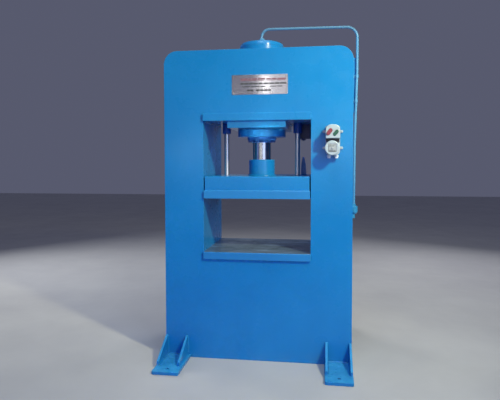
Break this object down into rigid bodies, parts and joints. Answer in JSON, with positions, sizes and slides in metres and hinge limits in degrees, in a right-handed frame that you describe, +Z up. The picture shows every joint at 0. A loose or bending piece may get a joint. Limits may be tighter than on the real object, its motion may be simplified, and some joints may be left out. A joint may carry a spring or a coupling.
{
  "type": "hydraulic press",
  "caption": "Closed-frame hydraulic press: a crown cylinder drives a guided platen down to a fixed table inside a welded plate frame, with a push-button starter.",
  "frame": {"origin": "on the floor at the centre of the frame's footprint, under the ram axis", "axes": "+Z up along the ram, +X to the operator's right, +Y to the rear; the operator stands on the -Y side"},
  "size_m": [1.0916, 1.07, 1.911],
  "materials": {
    "blue_paint": "gloss enamel",
    "pipe_paint": "gloss enamel",
    "machined_steel": "machined, oiled",
    "chrome_rod": "polished",
    "black_bolts": "blackened",
    "zinc_screws": "zinc plated",
    "plated_fitting": "zinc plated",
    "iron_piston": "turned",
    "seal_rubber": "matte",
    "plate_metal": "brushed",
    "starter_plastic": "satin",
    "dark_plastic": "matte",
    "red_button": "gloss",
    "green_button": "gloss",
    "switch_paint": "satin",
    "motor_paint": "satin"
  },
  "bodies": {
    "frame_body": {"base_tray": "blue_paint", "cable_glands": "starter_plastic", "cap_fitting": "blue_paint", "contactor": "dark_plastic", "cylinder_barrel": "blue_paint", "cylinder_cap": "blue_paint", "cylinder_saddle": "blue_paint", "feed_pipe": "pipe_paint", "foot_plate_fl": "blue_paint", "foot_plate_fr": "blue_paint", "foot_plate_rl": "blue_paint", "foot_plate_rr": "blue_paint", "front_plate": "blue_paint", "gear_pump": "machined_steel", "gland_bolts": "black_bolts", "gland_ring": "blue_paint", "guide_bush_left": "blue_paint", "guide_bush_right": "blue_paint", "gussets_front": "blue_paint", "gussets_rear": "blue_paint", "head_flange": "blue_paint", "head_flange_bolts": "black_bolts", "head_plate": "blue_paint", "inner_web_left": "blue_paint", "inner_web_right": "blue_paint", "limit_switch": "switch_paint", "nameplate": "plate_metal", "oil_tank": "blue_paint", "pipe_clamps": "blue_paint", "pipe_rail": "blue_paint", "pump_motor": "motor_paint", "rear_cover": "blue_paint", "rear_cover_screws": "zinc_screws", "rear_plate": "blue_paint", "return_pipe": "plated_fitting", "side_elbow": "blue_paint", "side_plate_left": "blue_paint", "side_plate_right": "blue_paint", "solenoid_valve": "motor_paint", "starter_base": "starter_plastic", "starter_cover": "starter_plastic", "starter_dial_cover": "starter_plastic", "starter_screws": "starter_plastic", "supply_pipe": "plated_fitting", "table_plate": "machined_steel", "tank_lid": "blue_paint", "valve_block": "machined_steel"},
    "platen_body": {"ram": "chrome_rod", "piston": "iron_piston", "piston_seal": "seal_rubber", "ram_boss": "blue_paint", "platen_block": "blue_paint", "platen_plate": "blue_paint", "platen_bolts": "black_bolts", "guide_rod_left": "chrome_rod", "guide_rod_right": "chrome_rod", "trip_bar": "blue_paint"},
    "stop_body": {"stop_button": "red_button"},
    "start_body": {"start_button": "green_button"},
    "plunger_body": {"switch_plunger": "chrome_rod"}
  },
  "joints": [
    {"name": "ram_slide", "type": "slide", "parent": "frame_body", "child": "platen_body", "axis": [0, 0, 1], "range_m": [-0.29, 0.098]},
    {"name": "stop_press", "type": "slide", "parent": "frame_body", "child": "stop_body", "axis": [0, 1, 0], "range_m": [0, 0.004], "stiffness_N_per_m": 800, "springref_m": -0.002},
    {"name": "start_press", "type": "slide", "parent": "frame_body", "child": "start_body", "axis": [0, 1, 0], "range_m": [0, 0.004], "stiffness_N_per_m": 800, "springref_m": -0.002},
    {"name": "plunger_press", "type": "slide", "parent": "frame_body", "child": "plunger_body", "axis": [0, 0, 1], "range_m": [0, 0.004], "stiffness_N_per_m": 1500, "springref_m": -0.002}
  ]
}
